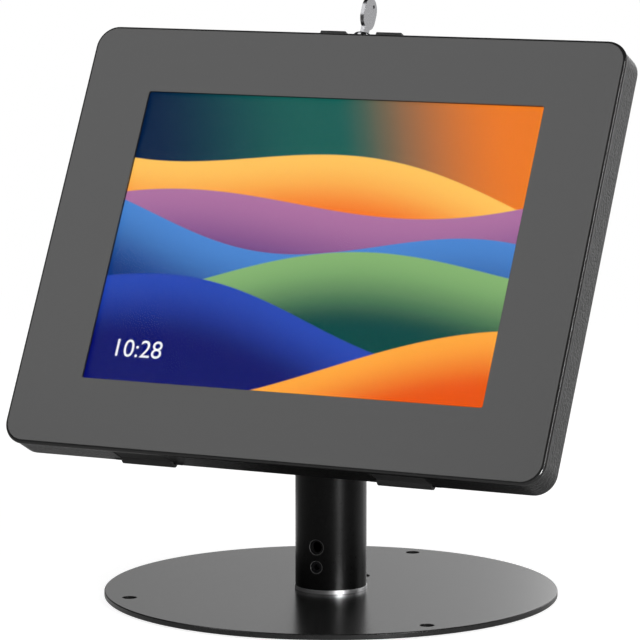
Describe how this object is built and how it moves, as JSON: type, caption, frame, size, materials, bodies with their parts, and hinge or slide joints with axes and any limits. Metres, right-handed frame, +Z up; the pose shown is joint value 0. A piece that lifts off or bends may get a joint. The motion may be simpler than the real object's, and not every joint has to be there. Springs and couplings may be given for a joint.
{
  "type": "tablet kiosk stand",
  "caption": "Lockable sheet-steel tablet enclosure with hinged front frame and cam lock, on a tilting, turning head, round pole and flat round foot.",
  "frame": {"origin": "middle of the foot's underside on the table, on the pole's axis", "axes": "+Z up along the pole, -Y towards the user, +X to the right as the user sees the screen"},
  "size_m": [0.3066, 0.2358, 0.3087],
  "materials": {
    "grey_coat": "fine textured semi-gloss grey coat",
    "black_coat": "satin black coat",
    "bright_steel": "polished",
    "plain_steel": "zinc plated",
    "lock_metal": "dark polished",
    "key_metal": "satin faces, polished edges",
    "black_rubber": "matt",
    "washer_plastic": "natural plastic",
    "tablet_metal": "bead blasted",
    "screen": "lit panel",
    "cover_glass": "clear"
  },
  "bodies": {
    "stand": {"base_pad": "black_rubber", "base_plate": "grey_coat", "base_screws": "plain_steel", "foot_ring": "bright_steel", "foot_plug": "plain_steel", "set_screw": "plain_steel", "pole_tube": "black_coat", "cable_grommet": "black_rubber", "pole_head": "black_coat", "head_screws": "plain_steel", "tilt_bolt": "plain_steel", "tilt_nut": "plain_steel", "tilt_washers": "washer_plastic"},
    "tilt_head": {"tilt_bracket": "black_coat", "stop_pin": "plain_steel"},
    "enclosure": {"swivel_disc": "washer_plastic", "swivel_spindle": "plain_steel", "swivel_washer": "plain_steel", "swivel_nut": "plain_steel", "mount_plate": "black_coat", "mount_screws": "plain_steel", "clinch_nuts": "plain_steel", "rear_shell": "grey_coat", "hinge_pins": "plain_steel", "lock_body": "lock_metal", "lock_clip": "plain_steel", "cradle": "plain_steel", "cradle_posts": "plain_steel", "cradle_screws": "plain_steel", "foam_pads": "black_rubber", "tablet_case": "tablet_metal", "tablet_display": "screen", "tablet_glass": "cover_glass"},
    "front_frame": {"front_frame": "grey_coat", "frame_gasket": "black_rubber", "lock_keeper": "plain_steel"},
    "lock": {"lock_plug": "lock_metal", "lock_cam": "plain_steel", "cam_screw": "plain_steel"},
    "key": {"key": "key_metal"}
  },
  "joints": [
    {"name": "tilt", "type": "hinge", "parent": "stand", "child": "tilt_head", "pos_m": [0, 0, 0.1502], "axis": [1, 0, 0], "range_deg": [-48, 16]},
    {"name": "rotate", "type": "hinge", "parent": "tilt_head", "child": "enclosure", "pos_m": [0, -0.02413, 0.1861], "axis": [0, -0.8931, 0.4499], "range_deg": [0, 90]},
    {"name": "frame_open", "type": "hinge", "parent": "enclosure", "child": "front_frame", "pos_m": [0, -0.06123, 0.0749], "axis": [1, 0, 0], "range_deg": [0, 95]},
    {"name": "lock_turn", "type": "hinge", "parent": "enclosure", "child": "lock", "pos_m": [0, 0.0361, 0.28676], "axis": [0, 0.4499, 0.8931], "range_deg": [0, 90]},
    {"name": "key_slide", "type": "slide", "parent": "lock", "child": "key", "axis": [0, 0.4499, 0.8931], "range_m": [0, 0.018]}
  ]
}
